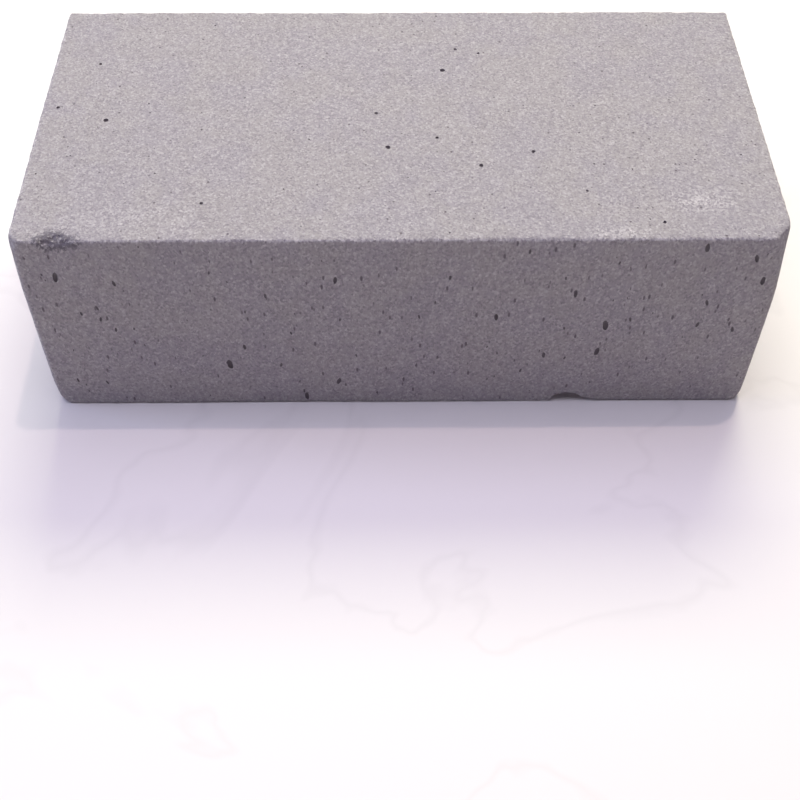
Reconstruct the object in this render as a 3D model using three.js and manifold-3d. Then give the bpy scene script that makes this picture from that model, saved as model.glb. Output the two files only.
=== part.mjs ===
// A dry floral foam brick: one block of rigid, fine-celled foam, sawn square from a larger bun.
// It has no case, wrap, core or fastener, so the whole object is the single mesh foam_brick.
// Millimetres, +Z up, +X along the length. The origin is the centre of the face it rests on,
// and the front is the long face on the -Y side.

import * as THREE from 'three';
import { mergeVertices } from 'three/addons/utils/BufferGeometryUtils.js';
import Module from 'manifold-3d';

const wasm = await Module();
wasm.setup();

// The sawn block: the common size of a dry foam brick.
const LENGTH = 230;
const DEPTH = 110;
const HEIGHT = 80;

// Its edges: crisp round the top and bottom, a little softer on the uprights, where hands grip it.
const EDGE_ROUND = 0.8;
const UPRIGHT_ROUND = 2.2;
const UPRIGHT_STEPS = 4;
const EDGE_STEPS = 2;

// Wear on the front uprights: a flat rubbed off the right one, deepest at the top, and off the
// left one at the bottom. The rub is how far it reaches from the corner at its deep end, and the
// length is how far along the upright it runs before it fades out.
const RIGHT_RUB = 3.6;
const RIGHT_RUB_LENGTH = 34;
const LEFT_RUB = 3.2;
const LEFT_RUB_LENGTH = 16;
const RUB_TOOL = 30;

// The scallop broken out of the bottom front edge: a core, and a wider shallow lip round it.
const SCALLOP_X = 56;
const SCALLOP_CORE = [5.2, 3.0, 3.6];
const SCALLOP_LIP = [9.0, 1.8, 1.7];

// The bruise on the top front edge: dents crushed into it side by side.
// Each is its place along the edge, then its half-width, reach inwards and depth.
const BRUISE_DENTS = [
  [-107.2, 1.9, 1.3, 1.5],
  [-104.6, 2.4, 2.6, 2.0],
  [-101.4, 2.8, 3.4, 2.4],
  [-98.4, 2.2, 2.9, 2.2],
  [-95.9, 1.5, 1.6, 1.7],
];

// Blowholes: gas bubbles in the foam that the saw laid open. They are drawn out along Z, the way
// the foam rose, so they are upright ovals on the walls and near round on the top and bottom.
// The larger ones on the front are listed as x, z and half-width, those on the top as x and y.
const FRONT_BLOWHOLES = [
  [-103.5, 64.5, 0.8],
  [-93.5, 50, 0.5],
  [-86.5, 61.5, 0.5],
  [-55.5, 21.5, 0.9],
  [-31.5, 3.8, 0.7],
  [-20.5, 12, 0.7],
  [-20, 62.5, 0.6],
  [29.5, 45, 0.6],
  [46, 25.5, 0.6],
  [53, 56, 0.6],
  [63, 27.5, 0.7],
  [64, 41, 0.9],
  [89.5, 76, 0.7],
  [93, 41, 0.5],
  [94, 51.5, 0.5],
  [104.5, 38.5, 0.5],
  [105, 71.5, 0.6],
  [109, 61.5, 0.7],
];
const TOP_BLOWHOLES = [
  [-109.5, 4, 0.7],
  [-99.5, 26, 0.6],
  [-93.5, -2, 0.8],
  [-59.5, -39.5, 0.7],
  [-8, 1, 0.7],
  [-4, -15, 0.9],
  [11.5, -11, 0.6],
  [14.5, 22.5, 0.9],
  [19, 34, 0.7],
  [24.5, -23.5, 0.8],
  [41, -17.5, 0.8],
];
const RISE_STRETCH = 2.0;
const HIDDEN_HALF_WIDTH = [0.5, 0.9];
const BACK_COUNT = 12;
const END_COUNT = 6;
const BOTTOM_COUNT = 8;
const EDGE_MARGIN = 7;
const CENTRE_CLEAR = 14;
const BUBBLE_SINK = 0.3;
const BLOWHOLE_DETAIL = 0;
const DENT_DETAIL = 1;
const SEED = 1957;

const FOAM_COLOUR = 0xbab1b7;

// A small seeded generator, so that every build is the same brick.
function seeded(seed) {
  let state = seed >>> 0;
  return (low, high) => {
    state = (Math.imul(state, 1664525) + 1013904223) >>> 0;
    return low + (high - low) * (state / 4294967296);
  };
}

function toSolid(geometry) {
  geometry.deleteAttribute('normal');
  geometry.deleteAttribute('uv');
  const merged = mergeVertices(geometry, 1e-4);
  const vertProperties = new Float32Array(merged.attributes.position.array);
  const triVerts = new Uint32Array(merged.index.array);
  return new wasm.Manifold(new wasm.Mesh({ numProp: 3, vertProperties, triVerts }));
}

function toGeometry(solid) {
  const mesh = solid.getMesh();
  const geometry = new THREE.BufferGeometry();
  geometry.setAttribute('position', new THREE.BufferAttribute(mesh.vertProperties, 3));
  geometry.setIndex(new THREE.BufferAttribute(mesh.triVerts, 1));
  geometry.computeVertexNormals();
  return geometry;
}

// The block: a rounded rectangle drawn up through the height, with its rims rolled over.
function sawnBlock() {
  const x = LENGTH / 2 - UPRIGHT_ROUND;
  const y = DEPTH / 2 - UPRIGHT_ROUND;
  const outline = new THREE.Shape();
  outline.absarc(x, y, UPRIGHT_ROUND, 0, Math.PI / 2);
  outline.absarc(-x, y, UPRIGHT_ROUND, Math.PI / 2, Math.PI);
  outline.absarc(-x, -y, UPRIGHT_ROUND, Math.PI, 1.5 * Math.PI);
  outline.absarc(x, -y, UPRIGHT_ROUND, 1.5 * Math.PI, 2 * Math.PI);
  outline.closePath();
  const block = new THREE.ExtrudeGeometry(outline, {
    depth: HEIGHT - 2 * EDGE_ROUND,
    curveSegments: UPRIGHT_STEPS,
    bevelEnabled: true,
    bevelThickness: EDGE_ROUND,
    bevelSize: EDGE_ROUND,
    bevelOffset: -EDGE_ROUND,
    bevelSegments: EDGE_STEPS,
  });
  block.translate(0, 0, EDGE_ROUND);
  return toSolid(block);
}

// A faceted ball with its own half-sizes, the shape of every bubble and dent.
function bubble(centre, halfSizes, detail) {
  const ball = new THREE.IcosahedronGeometry(1, detail);
  ball.scale(...halfSizes);
  ball.translate(...centre);
  return toSolid(ball);
}

// A blowhole opened on a face: outward is the face's unit normal, and the bubble's centre lies
// a little inside the face, so its mouth is nearly as wide as it is.
function blowhole(place, outward, halfWidth) {
  const halfSizes = [halfWidth, halfWidth, halfWidth * RISE_STRETCH];
  const across = Math.abs(outward[2]) > 0.5 ? halfSizes[2] : halfSizes[0];
  const centre = place.map((value, axis) => value - outward[axis] * across * BUBBLE_SINK);
  return bubble(centre, halfSizes, BLOWHOLE_DETAIL);
}

// Scattered places on a face spanning u and v, clear of its rim and of its flat middle.
function scatter(random, count, spanU, spanV) {
  const places = [];
  while (places.length < count) {
    const u = random(-spanU / 2 + EDGE_MARGIN, spanU / 2 - EDGE_MARGIN);
    const v = random(-spanV / 2 + EDGE_MARGIN, spanV / 2 - EDGE_MARGIN);
    const halfWidth = random(...HIDDEN_HALF_WIDTH);
    const clear = places.every(([a, b]) => Math.hypot(a - u, b - v) > EDGE_MARGIN);
    if (clear && Math.hypot(u, v) > CENTRE_CLEAR) {
      places.push([u, v, halfWidth]);
    }
  }
  return places;
}

function allBlowholes() {
  const front = -DEPTH / 2;
  const middle = HEIGHT / 2;
  const random = seeded(SEED);
  const holes = [];
  for (const [x, z, halfWidth] of FRONT_BLOWHOLES) {
    holes.push(blowhole([x, front, z], [0, -1, 0], halfWidth));
  }
  for (const [x, y, halfWidth] of TOP_BLOWHOLES) {
    holes.push(blowhole([x, y, HEIGHT], [0, 0, 1], halfWidth));
  }
  for (const [x, v, halfWidth] of scatter(random, BACK_COUNT, LENGTH, HEIGHT)) {
    holes.push(blowhole([x, -front, middle + v], [0, 1, 0], halfWidth));
  }
  for (const side of [-1, 1]) {
    for (const [y, v, halfWidth] of scatter(random, END_COUNT, DEPTH, HEIGHT)) {
      holes.push(blowhole([(side * LENGTH) / 2, y, middle + v], [side, 0, 0], halfWidth));
    }
  }
  for (const [x, y, halfWidth] of scatter(random, BOTTOM_COUNT, LENGTH, DEPTH)) {
    holes.push(blowhole([x, y, 0], [0, 0, -1], halfWidth));
  }
  return holes;
}

// The wear on a front upright: a box whose inner face leans across the corner, so that it cuts
// rub deep at the end of the edge, at height endZ, and nothing at length away from it.
function uprightRub(side, endZ, rub, length) {
  const tool = new THREE.BoxGeometry(RUB_TOOL, RUB_TOOL, 3 * length);
  const lean = Math.atan2(rub * Math.SQRT1_2, length);
  const up = endZ > HEIGHT / 2 ? 1 : -1;
  const fadeZ = endZ - up * length;
  tool.translate(0, -RUB_TOOL / 2, 0);
  tool.rotateX(-up * lean);
  tool.rotateZ((side * Math.PI) / 4);
  tool.translate(side * (LENGTH / 2), -DEPTH / 2, fadeZ);
  return toSolid(tool);
}

function scallop() {
  const centre = [SCALLOP_X, -DEPTH / 2, 0];
  return [SCALLOP_CORE, SCALLOP_LIP].map((halfSizes) => bubble(centre, halfSizes, DENT_DETAIL));
}

function bruise() {
  return BRUISE_DENTS.map(([x, halfWidth, reach, depth]) =>
    bubble([x, -DEPTH / 2, HEIGHT], [halfWidth, reach, depth], DENT_DETAIL)
  );
}

function foamBrick() {
  const cuts = [
    uprightRub(1, HEIGHT, RIGHT_RUB, RIGHT_RUB_LENGTH),
    uprightRub(-1, 0, LEFT_RUB, LEFT_RUB_LENGTH),
    ...scallop(),
    ...bruise(),
    ...allBlowholes(),
  ];
  const worn = cuts.reduce((solid, cut) => solid.subtract(cut), sawnBlock());
  const foam = new THREE.MeshStandardMaterial({
    color: FOAM_COLOUR,
    roughness: 0.95,
    metalness: 0,
    flatShading: true,
  });
  const mesh = new THREE.Mesh(toGeometry(worn), foam);
  mesh.name = 'foam_brick';
  return mesh;
}

const object = new THREE.Group();
object.add(foamBrick());

export default object;
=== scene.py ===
"""A dry floral foam brick lying on a pale studio floor.

The brick is one block of rigid, fine-celled foam, sawn square from a larger bun. Its shape is
worked out in millimetres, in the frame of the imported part: +X along its length, +Z up, and the
front on the -Y side. The foam's rise direction is Z, so its cells and bubbles are drawn out
along Z, and look upright on the walls and round on the top and bottom.
"""

import logging
import math
from collections.abc import Iterator
from dataclasses import dataclass, field
from enum import Enum

import bmesh
import bpy
import numpy as np
from mathutils import Matrix, Vector


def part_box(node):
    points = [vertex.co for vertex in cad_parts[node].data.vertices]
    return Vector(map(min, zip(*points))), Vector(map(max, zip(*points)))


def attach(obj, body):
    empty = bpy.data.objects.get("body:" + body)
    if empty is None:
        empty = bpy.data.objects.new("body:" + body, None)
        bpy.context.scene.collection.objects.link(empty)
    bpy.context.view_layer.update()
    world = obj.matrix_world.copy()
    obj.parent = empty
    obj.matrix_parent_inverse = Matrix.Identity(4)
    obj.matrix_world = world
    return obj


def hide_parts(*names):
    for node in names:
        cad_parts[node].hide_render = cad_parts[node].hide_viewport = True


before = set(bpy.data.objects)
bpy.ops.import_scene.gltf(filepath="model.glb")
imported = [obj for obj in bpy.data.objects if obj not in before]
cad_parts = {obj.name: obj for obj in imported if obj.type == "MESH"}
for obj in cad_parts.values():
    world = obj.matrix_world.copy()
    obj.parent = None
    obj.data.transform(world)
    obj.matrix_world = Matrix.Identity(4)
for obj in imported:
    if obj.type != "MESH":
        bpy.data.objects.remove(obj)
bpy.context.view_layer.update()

MM = 0.001
BRICK_NODE = "foam_brick"
BODY = "root"

log = logging.getLogger("foam_brick_scene")


# ---------------------------------------------------------------------------------------------
# Colours and nodes


def linear(hex_colour: str) -> tuple[float, float, float, float]:
    """Turns an sRGB hex colour into the linear values that a shader takes.

    Args:
        hex_colour: six hex digits after a hash, such as "#BAB1B7".

    Returns:
        Linear red, green and blue, and an alpha of 1.
    """
    parts = [int(hex_colour[i : i + 2], 16) / 255 for i in (1, 3, 5)]
    red, green, blue = (
        v / 12.92 if v <= 0.04045 else ((v + 0.055) / 1.055) ** 2.4 for v in parts
    )
    return red, green, blue, 1.0


def add(
    tree: bpy.types.NodeTree,
    kind: str,
    settings: dict[str | int, object] | None = None,
    links: dict[str | int, bpy.types.NodeSocket] | None = None,
) -> bpy.types.Node:
    """Adds one node to a tree, with its settings and its incoming links.

    Args:
        tree: the node tree that takes the node.
        kind: the node's type, such as "ShaderNodeTexNoise".
        settings: a property or an unlinked input, by name or index.
        links: an input by name or index, and the output that feeds it.

    Returns:
        The new node.
    """
    node = tree.nodes.new(kind)
    for key, value in (settings or {}).items():
        if isinstance(key, str) and key in node.bl_rna.properties:
            setattr(node, key, value)
        else:
            node.inputs[key].default_value = value
    for key, socket in (links or {}).items():
        tree.links.new(socket, node.inputs[key])
    return node


def new_material(name: str) -> tuple[bpy.types.Material, bpy.types.NodeTree]:
    """Makes an empty node material.

    Args:
        name: the material's name.

    Returns:
        The material and its node tree.
    """
    material = bpy.data.materials.new(name)
    material.use_nodes = True
    material.node_tree.nodes.clear()
    return material, material.node_tree


# ---------------------------------------------------------------------------------------------
# Random fields and the sides of the block


@dataclass(frozen=True)
class SmoothField:
    """A smooth random field in space, made from a lattice of seeded random numbers.

    Attributes:
        seed: fixes the numbers.
        period: how many lattice cells there are before the field repeats.
    """

    seed: int
    period: int = 64

    def at(self, points: np.ndarray, size: float) -> np.ndarray:
        """The field's value at each point.

        Args:
            points: rows of x, y and z in millimetres.
            size: the lattice spacing in millimetres, about half of a wavelength.

        Returns:
            One value from 0 to 1 for each point.
        """
        lattice = np.random.default_rng(self.seed).random((self.period,) * 3)
        scaled = points / size
        cell = np.floor(scaled).astype(int)
        part = scaled - cell
        blend = part * part * (3 - 2 * part)
        total = np.zeros(len(points))
        for corner in np.ndindex(2, 2, 2):
            i, j, k = ((cell + corner) % self.period).T
            weight = np.where(np.array(corner) == 1, blend, 1 - blend).prod(axis=1)
            total += weight * lattice[i, j, k]
        return total


class Side(Enum):
    """A side of the block: the axis it faces along and which end of that axis it is on."""

    FRONT = (1, -1)
    BACK = (1, 1)
    LEFT = (0, -1)
    RIGHT = (0, 1)
    BOTTOM = (2, -1)
    TOP = (2, 1)

    @property
    def axis(self) -> int:
        """The axis that the side faces along, 0 for X, 1 for Y and 2 for Z."""
        return self.value[0]

    @property
    def sign(self) -> int:
        """Which way the side faces, 1 or -1."""
        return self.value[1]

    @property
    def plane(self) -> tuple[int, int]:
        """The two axes that lie in the side."""
        across, along = (a for a in range(3) if a != self.axis)
        return across, along


# ---------------------------------------------------------------------------------------------
# What has worn the block


@dataclass(frozen=True)
class Dent:
    """Foam pushed or broken away inside an ellipsoid.

    Attributes:
        centre: the ellipsoid's centre, in millimetres.
        half: its half-sizes.
        push: the direction that the surface is pushed in, of length 1.
        ragged: how far the dent's outline strays, in millimetres.
        crumb: the size of the crumbs that make it ragged, in millimetres.
        crags: how uneven its floor is, as a share of its depth.
        share: how much of the way to the ellipsoid's far side the foam is gone.
    """

    centre: tuple[float, float, float]
    half: tuple[float, float, float]
    push: tuple[float, float, float]
    ragged: float
    crumb: float
    crags: float = 0.0
    share: float = 1.0

    def depth(self, points: np.ndarray) -> np.ndarray:
        """How far each point is pushed in.

        Args:
            points: rows of x, y and z in millimetres.

        Returns:
            Its share of the distance to the ellipsoid's far side, and 0 outside it.
        """
        jitter = np.stack(
            [SmoothField(7 + a).at(points, self.crumb) - 0.5 for a in range(3)], axis=1
        )
        start = (points + 2 * self.ragged * jitter - self.centre) / self.half
        step = np.array(self.push) / self.half
        a = step @ step
        b = start @ step
        c = (start * start).sum(axis=1) - 1
        root = np.sqrt(np.maximum(b * b - a * c, 0))
        crags = self.crags * (2 * SmoothField(10).at(points, self.crumb) - 1)
        uneven = self.share * (1 + crags)
        return np.where(c < 0, np.maximum((root - b) / a, 0) * uneven, 0)


@dataclass(frozen=True)
class Rub:
    """A flat rubbed off a corner or an edge, deepest at one place and fading away from it.

    Attributes:
        place: where the flat is deepest, on the sharp block, in millimetres.
        inward: the way into the block, square to the flat, of any length.
        cut: how deep the flat lies under that place.
        length: how far from that place the flat fades out.
        soft: how far the flat's borders are rounded over.
    """

    place: tuple[float, float, float]
    inward: tuple[float, float, float]
    cut: float
    length: float
    soft: float = 1.2

    @property
    def push(self) -> np.ndarray:
        """The direction into the block, of length 1."""
        return np.array(self.inward) / np.linalg.norm(self.inward)

    def depth(self, points: np.ndarray) -> np.ndarray:
        """How far each point stands out past the flat.

        Args:
            points: rows of x, y and z in millimetres.

        Returns:
            The distance that each point is pushed in, and 0 inside the flat.
        """
        away = points - self.place
        into = away @ self.push
        aside = np.linalg.norm(away - into[:, None] * self.push, axis=1)
        over = self.cut * np.clip(1 - aside / self.length, 0, 1) - into
        turn = np.maximum(self.soft - np.abs(over), 0)
        return np.maximum(over, 0) + turn**2 / (4 * self.soft)


# ---------------------------------------------------------------------------------------------
# The sawn block


@dataclass
class SawnBlock:
    """The block as it came off the saw, with its rims rolled over and its wear.

    Attributes:
        low: the lowest corner, in millimetres.
        high: the highest corner.
        rim_round: the radius round the top and bottom faces.
        upright_round: the radius of the four uprights.
        coarse: the mesh spacing on the open faces.
        fine: the mesh spacing across the bruise, the scallop and the rims next to them.
        wander: how far the saw strayed, from its lowest to its highest.
        wander_size: the distance over which it strayed.
        relief: how far the torn cells stand up and down.
        relief_size: the size of the clumps of torn cells.
        crumble: how much of the rims has crumbled away.
        crumble_width: how far from a rim the crumbling reaches.
        dents: where the foam is pushed or broken in.
        rubs: where its corners and edges are rubbed off.
    """

    low: np.ndarray
    high: np.ndarray
    rim_round: float = 0.9
    upright_round: float = 1.4
    coarse: float = 1.45
    fine: float = 0.5
    wander: float = 0.30
    wander_size: float = 38.0
    relief: float = 0.16
    relief_size: float = 1.9
    crumble: float = 0.45
    crumble_width: float = 1.6
    dents: list[Dent] = field(default_factory=list)
    rubs: list[Rub] = field(default_factory=list)

    @property
    def centre(self) -> np.ndarray:
        """The block's middle."""
        return (self.low + self.high) / 2

    @property
    def half(self) -> np.ndarray:
        """The block's half-sizes."""
        return (self.high - self.low) / 2

    def fine_spans(self, axis: int) -> list[tuple[float, float]]:
        """The stretches of an axis that hold a dent, from the block's middle.

        Args:
            axis: 0 for X, 1 for Y or 2 for Z.

        Returns:
            Pairs of a start and an end, in order, inside the rolled rims.
        """
        limit = self.half[axis] - self.upright_round
        spans = []
        for dent in self.dents:
            middle = dent.centre[axis] - self.centre[axis]
            reach = dent.half[axis] + 2 * dent.ragged
            start, end = max(middle - reach, -limit), min(middle + reach, limit)
            if end - start > self.fine:
                spans.append((start, end))
        return sorted(spans)

    def lines(self, axis: int) -> np.ndarray:
        """The mesh lines across an axis: close on the rolled rims and across the dents.

        Args:
            axis: 0 for X, 1 for Y or 2 for Z.

        Returns:
            Places along the axis from the block's middle, from low to high.
        """
        half = self.half[axis]
        steps = self.rim_round * (1 - np.tan(np.radians([45, 30, 15, 0])))
        outer = np.linspace(self.rim_round, self.upright_round, 4)[1:]
        rim = np.concatenate([steps, outer])
        breaks = [-half + self.upright_round]
        spacings = []
        for start, end in self.fine_spans(axis):
            if end <= breaks[-1]:
                continue
            if start > breaks[-1]:
                spacings.append(self.coarse)
                breaks.append(start)
            spacings.append(self.fine)
            breaks.append(end)
        if breaks[-1] < half - self.upright_round:
            spacings.append(self.coarse)
            breaks.append(half - self.upright_round)
        inner = []
        for start, end, spacing in zip(breaks, breaks[1:], spacings, strict=False):
            count = math.ceil((end - start) / spacing)
            inner.extend(np.linspace(start, end, count + 1)[1:])
        inner = np.array(inner[:-1])
        return np.concatenate([rim - half, inner, (half - rim)[::-1]])

    def lattice(self) -> tuple[np.ndarray, np.ndarray]:
        """The sharp box as a closed sheet of quads that share their corners.

        Returns:
            The points, from the block's middle, and the quads as rows of four point numbers
            that turn anticlockwise seen from outside.
        """
        axes = [self.lines(axis) for axis in range(3)]
        shape = tuple(len(a) for a in axes)
        shell = np.ones(shape, bool)
        shell[1:-1, 1:-1, 1:-1] = False
        number = np.full(shape, -1)
        number[shell] = np.arange(shell.sum())
        i, j, k = np.nonzero(shell)
        points = np.stack([axes[0][i], axes[1][j], axes[2][k]], axis=1)
        quads = []
        for side in Side:
            end = -1 if side.sign > 0 else 0
            ids = number.take(end, axis=side.axis)
            if side.axis == 1:
                ids = ids.T
            if side.sign < 0:
                ids = ids[::-1]
            ring = [ids[:-1, :-1], ids[1:, :-1], ids[1:, 1:], ids[:-1, 1:]]
            quads.append(np.stack([c.ravel() for c in ring], axis=1))
        return points, np.concatenate(quads)

    def outline(self, plan: np.ndarray) -> tuple[np.ndarray, np.ndarray]:
        """How deep each plan point is inside the block's rounded outline.

        Args:
            plan: rows of x and y from the block's middle.

        Returns:
            The depth inside the outline, and the outward direction at each point.
        """
        over = np.abs(plan) - (self.half[:2] - self.upright_round)
        beyond = np.maximum(over, 0)
        length = np.linalg.norm(beyond, axis=1)
        depth = self.upright_round - length - np.minimum(over.max(axis=1), 0)
        flat = np.where(over == over.max(axis=1, keepdims=True), 1.0, 0.0)
        way = np.where(length[:, None] > 0, beyond, flat)
        way = np.sign(plan) * way / np.linalg.norm(way, axis=1, keepdims=True)
        return depth, way

    def roll_rims(self, points: np.ndarray) -> np.ndarray:
        """Rounds the uprights, and then rolls over the rims of the top and bottom.

        Args:
            points: the sharp box's points, from the block's middle.

        Returns:
            The same points on the rounded block.
        """
        plan, z = points[:, :2].copy(), points[:, 2].copy()
        over = np.abs(plan) - (self.half[:2] - self.upright_round)
        square = (over > 0).all(axis=1)
        reach = over[square]
        shrink = reach.max(axis=1) / np.linalg.norm(reach, axis=1)
        kept = np.sign(plan[square]) * (self.half[:2] - self.upright_round)
        plan[square] = kept + np.sign(plan[square]) * reach * shrink[:, None]
        depth, way = self.outline(plan)
        out = self.rim_round - depth
        up = np.abs(z) - (self.half[2] - self.rim_round)
        rim = (out > 0) & (up > 0)
        pull = self.rim_round / np.hypot(out[rim], up[rim]) - 1
        plan[rim] += way[rim] * (out[rim] * pull)[:, None]
        z[rim] += np.sign(z[rim]) * up[rim] * pull
        return np.column_stack([plan, z])

    def sunk(self, points: np.ndarray) -> np.ndarray:
        """How far the sawn surface lies inside the block's nominal faces.

        Args:
            points: rows of x, y and z in millimetres, on the nominal surface.

        Returns:
            The distance inwards at each point.
        """
        slow = SmoothField(3).at(points, self.wander_size) - 0.5
        quick = SmoothField(4).at(points, self.relief_size) - 0.5
        gaps = np.sort(np.minimum(points - self.low, self.high - points), axis=1)
        near = np.clip(1 - gaps[:, 1] / self.crumble_width, 0, 1)
        crumbled = self.crumble * near * SmoothField(5).at(points, self.coarse)
        sunk = self.wander * slow + self.relief * quick + crumbled
        resting = points[:, 2] - self.low[2] < self.rim_round
        return np.where(resting, np.maximum(sunk, 0), sunk)

    def wear(self, points: np.ndarray) -> np.ndarray:
        """Pushes the points in where the block has been bruised, broken or rubbed.

        Args:
            points: rows of x, y and z in millimetres.

        Returns:
            The moved points.
        """
        for mark in [*self.rubs, *self.dents]:
            points = points + mark.depth(points)[:, None] * np.array(mark.push)
        return points

    def mesh(self, name: str) -> bpy.types.Object:
        """Makes the block as a closed mesh.

        Args:
            name: the object's name.

        Returns:
            The new object.
        """
        points, quads = self.lattice()
        points = self.roll_rims(points) + self.centre
        block = mesh_object(name, points, quads)
        normals = np.empty(len(points) * 3)
        block.data.vertex_normals.foreach_get("vector", normals)
        points = points - normals.reshape(-1, 3) * self.sunk(points)[:, None]
        points = self.wear(points)
        block.data.vertices.foreach_set("co", (points * MM).ravel())
        block.data.update()
        return block


def mesh_object(name: str, points: np.ndarray, faces: np.ndarray) -> bpy.types.Object:
    """Makes a mesh object and links it into the scene.

    Args:
        name: the object's name.
        points: rows of x, y and z in millimetres.
        faces: rows of point numbers.

    Returns:
        The new object.
    """
    mesh = bpy.data.meshes.new(name)
    mesh.from_pydata((points * MM).tolist(), [], faces.tolist())
    mesh.update()
    thing = bpy.data.objects.new(name, mesh)
    bpy.context.scene.collection.objects.link(thing)
    return thing


# ---------------------------------------------------------------------------------------------
# Blowholes


@dataclass(frozen=True)
class Blowhole:
    """A gas bubble in the foam that the saw laid open.

    Attributes:
        side: the side that it opens on.
        across: its place along the side's first axis, in millimetres.
        along: its place along the side's second axis.
        half_width: half of its width, square to the rise direction.
    """

    side: Side
    across: float
    along: float
    half_width: float


# The larger blowholes on the front, as x, z and half-width, and on the top, as x, y and
# half-width.
FRONT_BLOWHOLES = (
    (-103.5, 64.5, 0.80),
    (-93.5, 50.0, 0.45),
    (-89.5, 39.5, 0.45),
    (-86.5, 61.5, 0.50),
    (-55.5, 21.5, 0.90),
    (-50.0, 30.5, 0.50),
    (-41.5, 55.5, 0.45),
    (-39.0, 21.0, 0.45),
    (-31.5, 3.8, 0.70),
    (-20.5, 12.0, 0.65),
    (-20.0, 62.5, 0.55),
    (5.5, 45.5, 0.45),
    (14.5, 63.5, 0.45),
    (29.5, 45.0, 0.65),
    (37.5, 75.0, 0.45),
    (46.0, 25.5, 0.55),
    (53.0, 56.0, 0.60),
    (63.0, 27.5, 0.75),
    (64.0, 41.0, 0.90),
    (89.5, 76.0, 0.70),
    (93.0, 41.0, 0.50),
    (94.0, 51.5, 0.50),
    (104.5, 38.5, 0.50),
    (105.0, 71.5, 0.60),
    (109.0, 61.5, 0.70),
)
TOP_BLOWHOLES = (
    (-109.5, 4.0, 0.65),
    (-99.5, 26.0, 0.55),
    (-93.5, -2.0, 0.80),
    (-81.0, 6.0, 0.45),
    (-75.0, -26.5, 0.45),
    (-59.5, -39.5, 0.60),
    (-28.5, -11.5, 0.45),
    (-8.0, 1.0, 0.60),
    (-4.0, -15.0, 0.85),
    (11.5, -11.0, 0.55),
    (14.5, 22.5, 0.85),
    (19.0, 34.0, 0.65),
    (24.5, -23.5, 0.75),
    (26.5, 31.5, 0.50),
    (41.0, -17.5, 0.75),
    (56.0, -35.0, 0.50),
    (71.0, -25.5, 0.45),
    (77.5, -48.0, 0.55),
)


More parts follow.
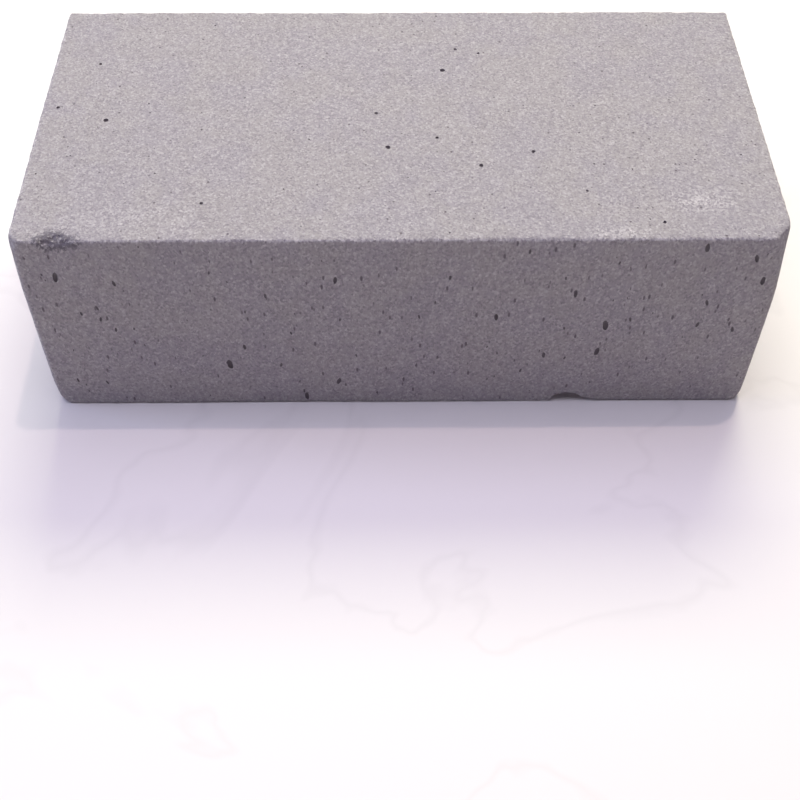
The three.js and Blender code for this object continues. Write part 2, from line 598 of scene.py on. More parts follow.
@dataclass
class Blowholes:
    """All the blowholes of the block: the larger ones by place, the rest scattered.

    Attributes:
        block: the block that they open on.
        stretch: how many times taller than wide a bubble is, along the rise direction.
        per_square_cm: how many scattered blowholes there are on a square centimetre.
        small: the scattered ones' smallest and largest half-width, in millimetres.
        mostly_small: how strongly their sizes lean towards the smallest.
        margin: how far the scattered ones keep from a rim, in millimetres.
        spacing: how far they keep from each other.
        rough: how far a bubble's wall strays from an ellipsoid, as a share of its size.
        raised: how far a bubble's middle may stand out of a wall, as shares of its size.
        raised_level: the same on the top and bottom, where only the bubbles' ends are left.
        tilt: how far a bubble leans from the rise direction, in degrees.
        round_width: the half-width from which a bubble gets the rounder ball.
        seed: fixes where the scattered ones are, and every bubble's shape.
    """

    block: SawnBlock
    stretch: float = 2.9
    per_square_cm: float = 0.3
    small: tuple[float, float] = (0.2, 0.45)
    mostly_small: float = 2.2
    margin: float = 2.2
    spacing: float = 2.4
    rough: float = 0.07
    raised: tuple[float, float] = (-0.05, 0.35)
    raised_level: tuple[float, float] = (0.5, 0.75)
    tilt: float = 7.0
    round_width: float = 0.5
    seed: int = 11

    def placed(self) -> list[Blowhole]:
        """The larger blowholes on the front and the top.

        Returns:
            The front's and then the top's.
        """
        front = [Blowhole(Side.FRONT, x, z, w) for x, z, w in FRONT_BLOWHOLES]
        top = [Blowhole(Side.TOP, x, y, w) for x, y, w in TOP_BLOWHOLES]
        return front + top

    def scattered(self) -> Iterator[Blowhole]:
        """Scatters small blowholes over every side, clear of its rim and of each other.

        Returns:
            The blowholes, one at a time.
        """
        rng = np.random.default_rng(self.seed)
        low, high = self.block.low, self.block.high
        for side in Side:
            u, v = side.plane
            kept = [(b.across, b.along) for b in self.placed() if b.side is side]
            area = (high[u] - low[u]) * (high[v] - low[v]) / 100
            for _ in range(round(area * self.per_square_cm)):
                across = rng.uniform(low[u] + self.margin, high[u] - self.margin)
                along = rng.uniform(low[v] + self.margin, high[v] - self.margin)
                share = rng.random() ** self.mostly_small
                near = min(math.hypot(across - a, along - b) for a, b in [*kept, (1e3, 1e3)])
                if near > self.spacing:
                    kept.append((across, along))
                    width = self.small[0] + share * (self.small[1] - self.small[0])
                    yield Blowhole(side, across, along, width)

    def cutters(self) -> bpy.types.Object:
        """Makes one mesh of all the bubbles, each a slightly uneven ellipsoid.

        Returns:
            The new object, which the block is cut with.
        """
        rng = np.random.default_rng(self.seed + 1)
        balls = {detail: unit_ball(detail) for detail in (1, 2)}
        points, faces, count = [], [], 0
        for hole in [*self.placed(), *self.scattered()]:
            detail = 2 if hole.half_width >= self.round_width else 1
            ball, triangles = balls[detail]
            level = hole.side.axis == 2
            raised = rng.uniform(*(self.raised_level if level else self.raised))
            size = hole.half_width / math.sqrt(1 - raised**2) * np.array([1, 1, self.stretch])
            lean = np.radians(rng.normal(0, self.tilt, 2))
            turn = Matrix.Rotation(lean[0], 3, "X") @ Matrix.Rotation(lean[1], 3, "Y")
            uneven = 1 + self.rough * rng.normal(0, 1, (len(ball), 1))
            shape = (ball * uneven * size) @ np.array(turn).T
            axis = hole.side.axis
            shape[:, axis] += hole.side.sign * raised * size[axis]
            points.append(shape + self.mouth(hole))
            faces.append(triangles + count)
            count += len(ball)
        return mesh_object("bubbles", np.concatenate(points), np.concatenate(faces))

    def mouth(self, hole: Blowhole) -> np.ndarray:
        """The middle of a blowhole's mouth, on the block's real surface.

        Args:
            hole: the blowhole.

        Returns:
            Its x, y and z in millimetres.
        """
        place = np.empty(3)
        place[list(hole.side.plane)] = hole.across, hole.along
        face = self.block.high if hole.side.sign > 0 else self.block.low
        place[hole.side.axis] = face[hole.side.axis]
        place[hole.side.axis] -= hole.side.sign * self.block.sunk(place[None])[0]
        return place


def unit_ball(detail: int) -> tuple[np.ndarray, np.ndarray]:
    """A ball of radius 1 made of even triangles.

    Args:
        detail: how many times an icosahedron is divided.

    Returns:
        Its points and its triangles.
    """
    ball = bmesh.new()
    bmesh.ops.create_icosphere(ball, subdivisions=detail, radius=1.0)
    points = np.array([v.co[:] for v in ball.verts])
    triangles = np.array([[v.index for v in f.verts] for f in ball.faces])
    ball.free()
    return points, triangles


# ---------------------------------------------------------------------------------------------
# Finishes


@dataclass(frozen=True)
class Scuff:
    """A patch where powder rubbed off the foam lies on it.

    Attributes:
        centre: the patch's centre, in millimetres.
        half: its half-sizes.
        strength: how much of the patch the powder covers, from 0 to 1.
    """

    centre: tuple[float, float, float]
    half: tuple[float, float, float]
    strength: float = 1.0


@dataclass(frozen=True)
class Band:
    """A stretch of a pattern's values over which a finish fades in.

    Attributes:
        start: the value where none of it shows.
        end: the value where the most of it shows.
        most: the share that shows there.
    """

    start: float
    end: float
    most: float = 1.0

    @property
    def settings(self) -> dict[str | int, object]:
        """The settings of a node that turns the values into shares."""
        return {"From Min": self.start, "From Max": self.end, "To Max": self.most}


@dataclass(frozen=True)
class SawnDryFoam:
    """Dry floral foam, a rigid phenolic foam, where the saw has cut through its cells.

    The saw leaves every cell open, as a tiny cup with a thin torn rim. The colour paints the
    light and shade on them: painted shade in the cups, and a painted highlight with powder on
    the rims. So the surface is matt and grainy, with a faint painted sparkle.
    Sizes are in millimetres. A stretch is how many times taller than wide a thing is.

    Attributes:
        cup: the colour inside the open cells, darkened as painted shade.
        rim: the colour of their torn rims, a painted highlight with powder on it.
        warm: the foam's own colour in its warmer patches.
        cool: its colour in its cooler patches.
        crushed: the colour of crushed foam, darkened further as painted shade on the dent's
            slope.
        powder: the colour of loose powder.
        pinhole: the painted shade inside the bubbles too small to be modelled.
        roughness: how matt the foam is.
        specular: how much light glances off it.
        cell: how wide a cell is.
        grit: the size of the torn bits of the cells' rims.
        crumb: the size of the crumbs at the border of the crushed foam.
        clump: the size of the clumps that tear out together.
        tint_patch: the size of the warmer and cooler patches.
        lump_roughness: how strong the finer layers of those four are.
        cell_stretch: the stretch of the cells.
        pinhole_spacing: how far apart the places for pinholes are.
        pinhole_stretch: the stretch of the pinholes.
        tone_share: how much a cell's own tone counts, beside the grit.
        clump_share: how much the clumps count.
        edge_share: how much lighter the edges are, with powder and a painted highlight.
        crumb_stray: how far the crumbs move the border of the crushed foam.
        grit_stray: how far the grit moves it.
        cool_band: the patches' values, from warm to cool.
        crushed_band: the distances from the bruise, strays and all, where foam is crushed.
        cup_band: the tones that get the cups' painted shade.
        rim_band: the tones, with powder and edges, that get the rims' painted highlight.
        powder_band: the dustiest tones, where powder covers the foam.
        scuff_band: the distances from a scuff where its powder lies.
        crushed_veil: how much the crushed colour and its painted shade cover rims and powder.
        pinhole_radius: the radius of a pinhole, by its size number, as a share of the spacing.
        pinhole_depth: how dark a pinhole is, by its size number.
        pinhole_lip: how its border softens, as a share of the spacing.
        cup_height: how much the cups' shape counts in the relief, beside the grit.
        relief: how high the relief stands.
        relief_strength: how strongly it shades.
    """

    # The cups' colour is painted shade in the open cells.
    cup: str = "#847D85"
    # The rims' colour is a painted highlight, with powder on the rims.
    rim: str = "#B7B1B5"
    warm: str = "#A19B9E"
    cool: str = "#9E989E"
    # The crushed colour is crushed foam, darkened further with painted shade on the dent's
    # slope.
    crushed: str = "#6E6971"
    powder: str = "#D2CBCE"
    # The pinholes' colour is painted shade in holes too small to be modelled.
    pinhole: str = "#6D656C"
    # Open cells swallow most of the light, so little glances off and the foam looks dry.
    roughness: float = 0.92
    specular: float = 0.45
    # The cells are about 0.3 mm across. Drawn at twice that, so that they show in the render.
    cell: float = 0.6
    grit: float = 0.33
    crumb: float = 1.1
    clump: float = 2.6
    tint_patch: float = 9.0
    lump_roughness: float = 0.58
    cell_stretch: float = 1.5
    pinhole_spacing: float = 1.45
    pinhole_stretch: float = 3.0
    tone_share: float = 0.7
    clump_share: float = 0.15
    edge_share: float = 0.4
    crumb_stray: float = 2.0
    grit_stray: float = 1.2
    cool_band: Band = Band(0.42, 0.58)
    crushed_band: Band = Band(3.05, 2.6)
    cup_band: Band = Band(0.84, 0.48, 0.75)
    rim_band: Band = Band(0.98, 1.3, 0.8)
    powder_band: Band = Band(1.3, 1.7)
    scuff_band: Band = Band(1.3, 0.3, 0.35)
    crushed_veil: float = 0.3
    pinhole_radius: Band = Band(0.79, 1.0, 0.32)
    pinhole_depth: Band = Band(0.82, 1.0)
    pinhole_lip: Band = Band(0.0, 0.12)
    cup_height: float = 0.7
    relief: float = 0.28
    relief_strength: float = 0.7

    def build(self, bruise: Dent, scuffs: list[Scuff]) -> bpy.types.Material:
        """Builds the material.

        Args:
            bruise: the dent whose foam is crushed and darkened with painted shade.
            scuffs: the patches of loose powder.

        Returns:
            The new material.
        """
        material, tree = new_material("sawn_dry_foam")
        place = add(tree, "ShaderNodeTexCoord").outputs["Object"]
        # The foam rose along Z, which drew its cells and its bubbles out that way.
        upright, drawn = (
            add(
                tree,
                "ShaderNodeVectorMath",
                {"operation": "MULTIPLY", 1: (1.0, 1.0, 1 / stretch)},
                {0: place},
            ).outputs[0]
            for stretch in (self.cell_stretch, self.pinhole_stretch)
        )
        cells = add(
            tree, "ShaderNodeTexVoronoi", {"Scale": 1 / (self.cell * MM)}, {"Vector": upright}
        ).outputs
        grit, crumb, clumps, tint = (
            add(
                tree,
                "ShaderNodeTexNoise",
                {"Scale": 1 / (size * 2 * MM), "Detail": 2.0, "Roughness": self.lump_roughness},
                {"Vector": vector},
            ).outputs["Fac"]
            for size, vector in (
                (self.grit, upright),
                (self.crumb, place),
                (self.clump, upright),
                (self.tint_patch, place),
            )
        )
        # Each cell has its own tone, which sets the painted shade of its cup and the painted
        # highlight of its rim.
        tone = add(tree, "ShaderNodeSeparateColor", links={"Color": cells["Color"]}).outputs[0]
        torn = [(tone, self.tone_share), (clumps, self.clump_share)]
        # Powder and a painted highlight lighten the rims and the edges, and powder lies where
        # the foam was scuffed.
        edge = add(tree, "ShaderNodeAttribute", {"attribute_name": "edge_powder_and_highlight"}).outputs["Fac"]
        rubbed = [(edge, self.edge_share)]
        for scuff in scuffs:
            away = self.away(tree, place, scuff)
            patch = add(tree, "ShaderNodeMapRange", self.scuff_band.settings, {"Value": away})
            rubbed.append((patch.outputs[0], scuff.strength))
        # Foam is crushed in the bruise and darkened there with painted shade, up to a border
        # that its crumbs and grit make ragged.
        strays = [(crumb, self.crumb_stray), (grit, self.grit_stray)]
        piles = []
        for pile, parts in (
            (grit, torn),
            (grit, torn + rubbed),
            (self.away(tree, place, bruise), strays),
            (grit, [(cells["Distance"], self.cup_height)]),
        ):
            for pattern, share in parts:
                pile = add(
                    tree,
                    "ShaderNodeMath",
                    {"operation": "MULTIPLY_ADD", 1: share},
                    {0: pattern, 2: pile},
                ).outputs[0]
            piles.append(pile)
        light, powder_and_glint, bruised, height = piles
        cool, crushed, cup, rim, powder = (
            add(tree, "ShaderNodeMapRange", band.settings, {"Value": value}).outputs[0]
            for value, band in (
                (tint, self.cool_band),
                (bruised, self.crushed_band),
                (light, self.cup_band),
                (powder_and_glint, self.rim_band),
                (powder_and_glint, self.powder_band),
            )
        )
        # The crushed colour, with its painted shade, is laid over the rims and the powder again.
        settings = {"operation": "MULTIPLY", 1: self.crushed_veil}
        veil = add(tree, "ShaderNodeMath", settings, {0: crushed}).outputs[0]
        hole = self.pinholes(tree, drawn)
        # Painted shade for the cups, the crushed foam and the pinholes, and a painted highlight
        # with powder for the rims, are mixed into the foam's own colour.
        colour = None
        for over, share in (
            (self.cool, cool),
            (self.crushed, crushed),
            (self.cup, cup),
            (self.rim, rim),
            (self.powder, powder),
            (self.crushed, veil),
            (self.pinhole, hole),
        ):
            settings = {"data_type": "RGBA", 6: linear(self.warm), 7: linear(over)}
            links = {0: share} if colour is None else {0: share, 6: colour}
            colour = add(tree, "ShaderNodeMix", settings, links).outputs[2]

        sunk = add(tree, "ShaderNodeMath", {"operation": "SUBTRACT"}, {0: height, 1: hole})
        bump = add(
            tree,
            "ShaderNodeBump",
            {"Strength": self.relief_strength, "Distance": self.relief * MM},
            {"Height": sunk.outputs[0]},
        ).outputs[0]
        shader = add(
            tree,
            "ShaderNodeBsdfPrincipled",
            {"Roughness": self.roughness, "Specular IOR Level": self.specular},
            {"Base Color": colour, "Normal": bump},
        ).outputs["BSDF"]
        add(tree, "ShaderNodeOutputMaterial", links={"Surface": shader})
        return material

    def away(
        self, tree: bpy.types.NodeTree, place: bpy.types.NodeSocket, mark: Dent | Scuff
    ) -> bpy.types.NodeSocket:
        """How far each place is from the centre of a mark, counted in its half-sizes.

        Args:
            tree: the material's tree.
            place: object coordinates.
            mark: the dent or the scuff.

        Returns:
            The distance's output, 1 at the mark's border.
        """
        vector = place
        for operation, sizes in (("SUBTRACT", mark.centre), ("DIVIDE", mark.half)):
            settings = {"operation": operation, 1: tuple(size * MM for size in sizes)}
            vector = add(tree, "ShaderNodeVectorMath", settings, {0: vector}).outputs[0]
        length = add(tree, "ShaderNodeVectorMath", {"operation": "LENGTH"}, {0: vector})
        return length.outputs["Value"]

    def pinholes(
        self, tree: bpy.types.NodeTree, drawn: bpy.types.NodeSocket
    ) -> bpy.types.NodeSocket:
        """Marks the pinholes, the bubbles too small to be modelled.

        Args:
            tree: the material's tree.
            drawn: coordinates drawn out along the rise direction.

        Returns:
            An output that is 1 in a pinhole and 0 elsewhere.
        """
        # A pinhole's dark colour is painted shade in a hole too small to be modelled.
        settings = {"Scale": 1 / (self.pinhole_spacing * MM)}
        spots = add(tree, "ShaderNodeTexVoronoi", settings, {"Vector": drawn}).outputs
        # Each place has a size number from 0 to 1, and only the highest make a pinhole.
        size = add(tree, "ShaderNodeSeparateColor", links={"Color": spots["Color"]}).outputs[1]
        radius, depth = (
            add(tree, "ShaderNodeMapRange", band.settings, {"Value": size}).outputs[0]
            for band in (self.pinhole_radius, self.pinhole_depth)
        )
        links = {0: radius, 1: spots["Distance"]}
        inside = add(tree, "ShaderNodeMath", {"operation": "SUBTRACT"}, links).outputs[0]
        lip = add(tree, "ShaderNodeMapRange", self.pinhole_lip.settings, {"Value": inside})
        links = {0: lip.outputs[0], 1: depth}
        return add(tree, "ShaderNodeMath", {"operation": "MULTIPLY"}, links).outputs[0]


@dataclass(frozen=True)
class BubbleSkin:
    """Phenolic resin skin inside a bubble, which the gas blew smooth before the foam set.

    No powder from the saw lies on it, and little light finds its way in. Its colour is
    darkened with painted shade for that, so a bubble looks darker than the sawn face, and a
    little less matt. Sizes are in millimetres.

    Attributes:
        skin: its colour, the bare resin darkened with painted shade.
        roughness: how matt it is.
        ior: its index of refraction, that of the resin.
        ripple: the size of the ripples in it.
        ripple_height: how high they stand.
        ripple_strength: how strongly they shade.
    """

    # The skin's colour is the bare resin, darkened with painted shade for the bubble's depth.
    skin: str = "#655E64"
    roughness: float = 0.7
    ior: float = 1.45
    ripple: float = 0.5
    ripple_height: float = 0.1
    ripple_strength: float = 0.4

    def build(self) -> bpy.types.Material:
        """Builds the material.

        Returns:
            The new material.
        """
        material, tree = new_material("bubble_skin")
        place = add(tree, "ShaderNodeTexCoord").outputs["Object"]
        ripple = add(
            tree,
            "ShaderNodeTexNoise",
            {"Scale": 1 / (self.ripple * 2 * MM), "Detail": 1.0},
            {"Vector": place},
        ).outputs["Fac"]
        bump = add(
            tree,
            "ShaderNodeBump",
            {"Strength": self.ripple_strength, "Distance": self.ripple_height * MM},
            {"Height": ripple},
        ).outputs[0]
        shader = add(
            tree,
            "ShaderNodeBsdfPrincipled",
            {"Base Color": linear(self.skin), "Roughness": self.roughness, "IOR": self.ior},
            {"Normal": bump},
        ).outputs["BSDF"]
        add(tree, "ShaderNodeOutputMaterial", links={"Surface": shader})
        return material


@dataclass(frozen=True)
class VeinedTable:
    """A pale table top of honed marble, which is ground matt and not polished.

    It has no gloss, and only faint grey-pink veins show in it. Sizes are in millimetres.

    Attributes:
        ground: the stone's colour.
        vein: the veins' colour.
        roughness: how matt it is.
        patch: the size of the patches that the veins run round.
        patch_detail: how many finer layers the patches have.
        patch_twist: how much they are twisted.
        vein_width: how wide the veins are, as a share of the patches' values.
    """

    ground: str = "#F1ECED"
    vein: str = "#EDE8E9"
    roughness: float = 0.85
    patch: float = 55.0
    patch_detail: float = 4.0
    patch_twist: float = 0.6
    vein_width: float = 0.016

    def build(self) -> bpy.types.Material:
        """Builds the material.

        Returns:
            The new material.
        """
        material, tree = new_material("veined_table")
        place = add(tree, "ShaderNodeTexCoord").outputs["Object"]
        settings = {
            "Scale": 1 / (self.patch * 2 * MM),
            "Detail": self.patch_detail,
            "Distortion": self.patch_twist,
        }
        patches = add(tree, "ShaderNodeTexNoise", settings, {"Vector": place}).outputs["Fac"]
        # A vein runs wherever the patches cross their middle value.
        off = add(tree, "ShaderNodeMath", {"operation": "SUBTRACT", 1: 0.5}, {0: patches})
        gap = add(tree, "ShaderNodeMath", {"operation": "ABSOLUTE"}, {0: off.outputs[0]})
        band = Band(self.vein_width, 0.0).settings
        vein = add(tree, "ShaderNodeMapRange", band, {"Value": gap.outputs[0]})
        settings = {"data_type": "RGBA", 6: linear(self.ground), 7: linear(self.vein)}
        colour = add(tree, "ShaderNodeMix", settings, {0: vein.outputs[0]}).outputs[2]
        settings = {"Roughness": self.roughness}
        shader = add(tree, "ShaderNodeBsdfPrincipled", settings, {"Base Color": colour})
        add(tree, "ShaderNodeOutputMaterial", links={"Surface": shader.outputs["BSDF"]})
        return material


# ---------------------------------------------------------------------------------------------
# The brick


@dataclass
class FoamBrick:
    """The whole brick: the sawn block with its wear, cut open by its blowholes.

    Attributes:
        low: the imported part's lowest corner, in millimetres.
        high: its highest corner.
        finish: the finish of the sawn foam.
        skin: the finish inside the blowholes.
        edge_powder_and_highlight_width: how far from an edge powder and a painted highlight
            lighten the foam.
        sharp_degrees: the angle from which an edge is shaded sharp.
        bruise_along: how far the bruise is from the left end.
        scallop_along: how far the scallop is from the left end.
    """

    low: np.ndarray
    high: np.ndarray
    finish: SawnDryFoam = field(default_factory=SawnDryFoam)
    skin: BubbleSkin = field(default_factory=BubbleSkin)
    edge_powder_and_highlight_width: float = 1.2
    sharp_degrees: float = 42.0
    bruise_along: float = 14.3
    scallop_along: float = 171.5

    def bruise(self) -> Dent:
        """The patch crushed into the top front edge, near the left end.

        Returns:
            The dent.
        """
        return Dent(
            centre=(self.low[0] + self.bruise_along, self.low[1], self.high[2]),
            half=(5.3, 3.5, 3.0),
            push=(0.0, math.sqrt(0.5), -math.sqrt(0.5)),
            ragged=0.8,
            crumb=0.9,
            crags=0.5,
            share=0.42,
        )

    def scallop(self) -> list[Dent]:
        """The scallop broken out of the bottom front edge, right of the middle.

        Returns:
            Its core and its wider, shallower lip.
        """
        x, y, z = self.low[0] + self.scallop_along, self.low[1], self.low[2]
        push = (0.0, math.sqrt(0.5), math.sqrt(0.5))
        return [
            Dent((x - 0.6, y, z), (5.4, 5.6, 5.1), push, ragged=0.3, crumb=1.9),
            Dent((x + 2.2, y, z), (7.8, 2.6, 2.4), push, ragged=0.2, crumb=1.6),
        ]

    def rubs(self) -> list[Rub]:
        """The flats rubbed off the front uprights, and off the corners at their ends.

        Returns:
            The uprights' flats and then the corners'.
        """
        left, right = self.low[0], self.high[0]
        front, bottom, top = self.low[1], self.low[2], self.high[2]
        return [
            Rub((right, front, top), (-1, 1, 0), cut=3.6, length=32.0),
            Rub((left, front, top), (1, 1, 0), cut=2.0, length=22.0),
            Rub((left, front, bottom), (1, 1, 0), cut=2.0, length=13.0),
            Rub((right, front, bottom), (-1, 1, 0), cut=1.4, length=9.0),
            Rub((right, front, top), (-2.4, 1, 0), cut=2.6, length=24.0, soft=2.0),
            Rub((right, front, top), (-1, 1, -1), cut=4.3, length=16.0, soft=2.4),
            Rub((left, front, top), (1, 1, -1), cut=2.2, length=10.0, soft=2.0),
            Rub((left, front, bottom), (1, 1, 1), cut=1.9, length=9.0, soft=1.8),
            Rub((right, front, bottom), (-1, 1, 1), cut=2.3, length=9.0, soft=2.0),
        ]

    def scuffs(self) -> list[Scuff]:
        """The patches of loose powder on the top, along its front edge.

        Returns:
            Two strong patches near the right end, and a faint one near the left end.
        """
        top = self.high[2]
        return [
            Scuff((self.low[0] + 205.0, self.low[1] + 16.0, top), (10.0, 5.0, 2.0), 0.7),
            Scuff((self.low[0] + 179.0, self.low[1] + 3.0, top), (10.0, 2.4, 2.0), 0.7),
            Scuff((self.low[0] + 36.0, self.low[1] + 9.0, top), (24.0, 7.0, 2.0), 0.3),
        ]

    def build(self) -> bpy.types.Object:
        """Builds the brick's mesh and dresses it.

        Returns:
            The finished piece.
        """
        block = SawnBlock(
            self.low,
            self.high,
            dents=[self.bruise(), *self.scallop()],
            rubs=self.rubs(),
        )
        brick = block.mesh("sawn_foam_brick")
        brick.data.materials.append(self.finish.build(self.bruise(), self.scuffs()))
        bubbles = Blowholes(block).cutters()
        skin = self.skin.build()
        brick.data.materials.append(skin)
        # The cut keeps material numbers, so the bubbles' skin is number 1 in both meshes.
        bubbles.data.materials.append(None)
        bubbles.data.materials.append(skin)
        bubbles.data.polygons.foreach_set(
            "material_index", np.ones(len(bubbles.data.polygons), int)
        )
        self.open_bubbles(brick, bubbles)
        self.finish_mesh(brick)
        return brick

    def open_bubbles(self, brick: bpy.types.Object, bubbles: bpy.types.Object) -> None:
        """Cuts the bubbles out of the block, and removes them.

        Args:
            brick: the block.
            bubbles: the mesh of all the bubbles.
        """
        cut = brick.modifiers.new("open_bubbles", "BOOLEAN")
        cut.operation = "DIFFERENCE"
        cut.solver = "MANIFOLD"
        cut.object = bubbles
        graph = bpy.context.evaluated_depsgraph_get()
        opened = bpy.data.meshes.new_from_object(brick.evaluated_get(graph))
        brick.modifiers.clear()
        brick.data = opened
        bpy.data.objects.remove(bubbles)

    def finish_mesh(self, brick: bpy.types.Object) -> None:
        """Smooths the shading, lays out the bake map and marks the edges' powder and painted
        highlight.

        Args:
            brick: the opened block.
        """
        mesh = brick.data
        mesh.shade_smooth()
        mesh.set_sharp_from_angle(angle=math.radians(self.sharp_degrees))
        points = np.empty(len(mesh.vertices) * 3)
        mesh.vertices.foreach_get("co", points)
        points = points.reshape(-1, 3) / MM
        gaps = self.side_gaps(points)
        second = np.sort(gaps, axis=1)[:, 1]
        # Near every edge the foam is lighter, partly powder and partly a painted highlight.
        rubbed = np.clip(1 - second / self.edge_powder_and_highlight_width, 0, 1)
        mark = mesh.attributes.new("edge_powder_and_highlight", "FLOAT", "POINT")
        mark.data.foreach_set("value", rubbed)
        self.lay_out(mesh, points)

    def side_gaps(self, points: np.ndarray) -> np.ndarray:
        """How far each point is from each side's plane, in the order of Side.

        Args:
            points: rows of x, y and z in millimetres.

        Returns:
            One row for each point, with a column for each side.
        """
        columns = []
        for side in Side:
            face = self.high if side.sign > 0 else self.low
            columns.append(np.abs(points[:, side.axis] - face[side.axis]))
        return np.stack(columns, axis=1)

    def lay_out(self, mesh: bpy.types.Mesh, points: np.ndarray) -> None:
        """Lays the six sides out flat, side by side, for the bake.

        Args:
            mesh: the brick's mesh.
            points: its points in millimetres.
        """
        gap = 3.0
        length, depth, height = self.high - self.low
        column = length + 2 * gap
        corners = {
            Side.TOP: (gap, gap),
            Side.BOTTOM: (gap, depth + 2 * gap),
            Side.FRONT: (gap, 2 * depth + 3 * gap),
            Side.BACK: (gap, 2 * depth + height + 4 * gap),
            Side.LEFT: (column, gap),
            Side.RIGHT: (column, height + 2 * gap),
        }
        sheet = 2 * depth + 2 * height + 5 * gap
        count = len(mesh.polygons)
        starts = np.empty(count, int)
        totals = np.empty(count, int)
        centres = np.empty(count * 3)
        mesh.polygons.foreach_get("loop_start", starts)
        mesh.polygons.foreach_get("loop_total", totals)
        mesh.polygons.foreach_get("center", centres)
        sides = self.side_gaps(centres.reshape(-1, 3) / MM).argmin(axis=1)
        loop_sides = np.repeat(sides, totals)
        corner_of = np.empty(len(mesh.loops), int)
        mesh.loops.foreach_get("vertex_index", corner_of)
        place = points[corner_of] - self.low
        uv = np.empty((len(mesh.loops), 2))
        for index, side in enumerate(Side):
            here = loop_sides == index
            u, v = side.plane
            flat = place[here][:, [u, v]]
            if (side.sign > 0) == (side.axis == 1):
                flat[:, 0] = (self.high - self.low)[u] - flat[:, 0]
            uv[here] = (flat + corners[side]) / sheet
        layer = mesh.uv_layers.new(name="OFBake")
        layer.data.foreach_set("uv", uv.ravel())


# ---------------------------------------------------------------------------------------------
# The studio


@dataclass(frozen=True)
class SoftBox:
    """A soft rectangular light that faces the brick.

    Attributes:
        name: the light's name.
        place: where it hangs, in metres.
        size: its width and height, in metres.
        power: its power, in watts.
        colour: its colour.
    """

    name: str
    place: tuple[float, float, float]
    size: tuple[float, float]
    power: float
    colour: str

    def build(self) -> bpy.types.Object:
        """Hangs the light.

        Returns:
            The new light.
        """
        lamp = bpy.data.lights.new(self.name, "AREA")
        lamp.shape = "RECTANGLE"
        lamp.size, lamp.size_y = self.size
        lamp.energy = self.power
        lamp.color = linear(self.colour)[:3]
        box = bpy.data.objects.new(self.name, lamp)
        box.location = self.place
        box.rotation_euler = (-Vector(self.place)).to_track_quat("-Z", "Y").to_euler()
        bpy.context.scene.collection.objects.link(box)
        return box


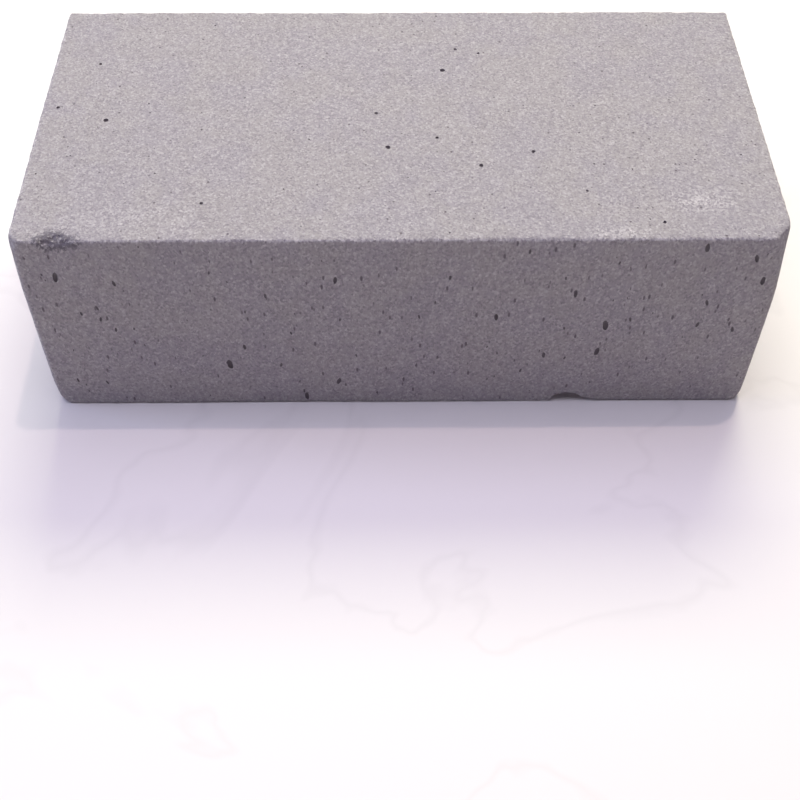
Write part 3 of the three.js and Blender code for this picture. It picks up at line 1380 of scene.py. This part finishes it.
@dataclass
class Studio:
    """The floor, the lights and the camera.

    Attributes:
        floor_size: the floor's width and depth, in metres.
        lens: the focal length, in millimetres on a 36 mm sensor.
        shift_y: how far the view is shifted, as a share of its width.
        pitch: how far the camera looks down, in degrees.
        yaw: how far it is turned to the right, in degrees.
        roll: how far it is tilted, in degrees.
        eye: where it stands, in metres.
        lights: the soft boxes.
        room_colour: the colour of the light from the room all round.
        wall_strength: how strong that light is from level with the table.
        wall_top: how high the pale walls reach, as the upward part of the way to them.
        ceiling_strength: how strong it is from above the walls.
        table: the floor's finish.
    """

    floor_size: float = 1.8
    lens: float = 55.04
    shift_y: float = -0.1675
    pitch: float = 47.97
    yaw: float = 0.77
    roll: float = 0.34
    eye: tuple[float, float, float] = (-0.0038, -0.2978, 0.3383)
    lights: tuple[SoftBox, ...] = (
        SoftBox("window", (0.14, 0.80, 1.10), (0.8, 0.5), 13.9, "#FAFFDE"),
        SoftBox("overhead", (0.0, 0.0, 1.4), (1.2, 1.2), 13.7, "#F0ECFF"),
        SoftBox("sun", (0.22, 0.2, 2.0), (0.03, 0.03), 5.4, "#FFE2D9"),
        SoftBox("left_fill", (-1.2, 0.0, 0.7), (0.6, 0.6), 6.2, "#CDD7FF"),
    )
    room_colour: str = "#FAF4FC"
    wall_strength: float = 0.33
    wall_top: float = 0.3
    ceiling_strength: float = 0.04
    table: VeinedTable = field(default_factory=VeinedTable)

    def floor(self) -> bpy.types.Object:
        """Lays the floor that the brick rests on.

        Returns:
            The new floor.
        """
        corners = np.array([(-1, -1, 0), (1, -1, 0), (1, 1, 0), (-1, 1, 0)])
        corners = corners * self.floor_size / 2 / MM
        floor = mesh_object("floor", corners, np.array([(0, 1, 2, 3)]))
        floor.data.materials.append(self.table.build())
        return floor

    def room(self) -> None:
        """Puts a dim room round the table, with pale walls that fade upwards."""
        world = bpy.data.worlds.new("room")
        world.use_nodes = True
        tree = world.node_tree
        tree.nodes.clear()
        way = add(tree, "ShaderNodeTexCoord").outputs["Generated"]
        upward = add(tree, "ShaderNodeSeparateXYZ", links={0: way}).outputs["Z"]
        ends = {"To Min": self.wall_strength, "To Max": self.ceiling_strength}
        strength = add(
            tree,
            "ShaderNodeMapRange",
            {"From Max": self.wall_top, **ends},
            {"Value": upward},
        ).outputs[0]
        light = add(
            tree,
            "ShaderNodeBackground",
            {"Color": linear(self.room_colour)},
            {"Strength": strength},
        )
        add(tree, "ShaderNodeOutputWorld", links={"Surface": light.outputs[0]})
        bpy.context.scene.world = world

    def camera(self) -> bpy.types.Object:
        """Sets up the camera, which looks down at the front of the brick.

        Returns:
            The new camera.
        """
        data = bpy.data.cameras.new("camera")
        data.lens = self.lens
        data.sensor_width = 36.0
        data.shift_y = self.shift_y
        data.clip_start, data.clip_end = 0.01, 20.0
        camera = bpy.data.objects.new("camera", data)
        turn = (
            Matrix.Rotation(math.radians(-self.yaw), 4, "Z")
            @ Matrix.Rotation(math.radians(90 - self.pitch), 4, "X")
            @ Matrix.Rotation(math.radians(self.roll), 4, "Z")
        )
        camera.matrix_world = Matrix.Translation(self.eye) @ turn
        bpy.context.scene.collection.objects.link(camera)
        bpy.context.scene.camera = camera
        return camera

    def build(self) -> None:
        """Builds the floor, the lights and the camera."""
        self.camera()
        self.floor()
        for light in self.lights:
            light.build()
        self.room()
        bpy.context.scene.view_settings.view_transform = "Standard"


def main() -> None:
    """Builds the studio and the brick."""
    Studio().build()
    log.info("studio: floor, lights, room and camera")
    low, high = (np.array(corner[:]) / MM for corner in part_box(BRICK_NODE))
    brick = FoamBrick(low, high).build()
    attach(brick, BODY)
    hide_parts(BRICK_NODE)
    triangles = sum(face.loop_total - 2 for face in brick.data.polygons)
    log.info("%s: %d triangles", brick.name, triangles)


if __name__ == "__main__":
    logging.basicConfig(level=logging.INFO, format="%(name)s: %(message)s")
    main()
